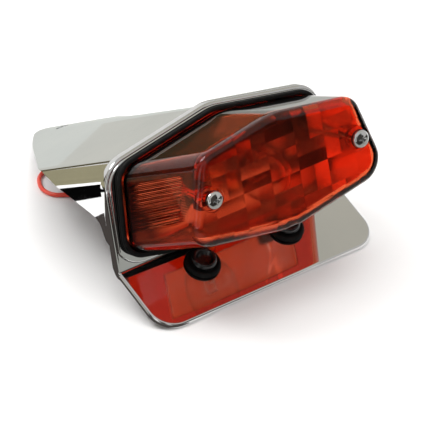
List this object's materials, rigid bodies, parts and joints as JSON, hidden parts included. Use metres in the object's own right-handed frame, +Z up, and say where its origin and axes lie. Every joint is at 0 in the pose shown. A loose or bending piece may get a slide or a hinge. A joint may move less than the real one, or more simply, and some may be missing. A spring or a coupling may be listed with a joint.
{
  "type": "motorcycle tail light",
  "caption": "Red rear lamp with an angular lens on a black gasket, chromed hood behind it and a chromed number plate shelf below, with bulb, socket and lead.",
  "frame": {"origin": "middle of the underside of the box round the lamp, without its free lead", "axes": "+Z up as the lamp stands on its shelf edge and hood tip, +X to the right, +Y to the rear along the hood; the lens looks towards -Y and upwards"},
  "size_m": [0.1308, 0.2056, 0.0961],
  "materials": {
    "chrome_plate": "mirror-bright chromium plate on steel",
    "chrome_screw": "bright chrome",
    "zinc_steel": "zinc-plated steel",
    "black_rubber": "matte black rubber",
    "black_plastic": "glossy black",
    "red_lens": "clear red acrylic, ribbed inside",
    "clear_plastic": "clear acrylic",
    "brass": "brass",
    "brown_fibre": "brown phenolic fibre",
    "bulb_glass": "thin clear glass",
    "filament_wire": "nickel wire and glass stem",
    "red_insulation": "red PVC insulation"
  },
  "bodies": {
    "lamp_body": {"number_plate_bracket": "chrome_plate", "hood": "chrome_plate", "base_gasket": "black_rubber", "base_plate": "zinc_steel", "base_screw_left": "zinc_steel", "base_screw_right": "zinc_steel", "base_washer_left": "zinc_steel", "base_washer_right": "zinc_steel", "base_nut_left": "zinc_steel", "base_nut_right": "zinc_steel", "bulb_socket": "brass", "socket_boot": "black_rubber", "plate_washer_left": "black_rubber", "plate_washer_right": "black_rubber", "plate_bolt_left": "black_plastic", "plate_bolt_right": "black_plastic", "plate_nut_washer_left": "zinc_steel", "plate_nut_washer_right": "zinc_steel", "plate_nut_left": "zinc_steel", "plate_nut_right": "zinc_steel", "red_wire": "red_insulation", "wire_coil": "red_insulation", "coil_tie": "black_plastic", "red_wire_end": "red_insulation", "bullet_connector": "brass"},
    "lens_assembly": {"lens": "red_lens", "clear_window": "clear_plastic", "lens_screw_washer_left": "black_rubber", "lens_screw_washer_right": "black_rubber"},
    "lens_screw_left_body": {"lens_screw_left": "chrome_screw"},
    "lens_screw_right_body": {"lens_screw_right": "chrome_screw"},
    "contact_block": {"contact_carrier": "brown_fibre", "contact_plunger_tail": "brass", "contact_plunger_stop": "brass", "contact_spring": "zinc_steel"},
    "bulb": {"bulb_cap": "brass", "bulb_glass": "bulb_glass", "bulb_filament_mount": "filament_wire"}
  },
  "joints": [
    {"name": "lens_lift", "type": "slide", "parent": "lamp_body", "child": "lens_assembly", "axis": [0, -0.9728, 0.2317], "range_m": [0, 0.075]},
    {"name": "lens_screw_left_turn", "type": "hinge", "parent": "lens_assembly", "child": "lens_screw_left_body", "pos_m": [-0.043, -0.09647, 0.07065], "axis": [0, -0.9728, 0.2317], "continuous": true},
    {"name": "lens_screw_right_turn", "type": "hinge", "parent": "lens_assembly", "child": "lens_screw_right_body", "pos_m": [0.043, -0.09647, 0.07065], "axis": [0, -0.9728, 0.2317], "continuous": true},
    {"name": "bulb_press", "type": "slide", "parent": "lamp_body", "child": "contact_block", "axis": [0, -0.9728, 0.2317], "range_m": [-0.0025, 0], "stiffness_N_per_m": 800, "springref_m": 0.003},
    {"name": "bulb_turn", "type": "hinge", "parent": "contact_block", "child": "bulb", "pos_m": [0, -0.05452, 0.05253], "axis": [0, -0.9728, 0.2317], "range_deg": [0, 20]}
  ]
}
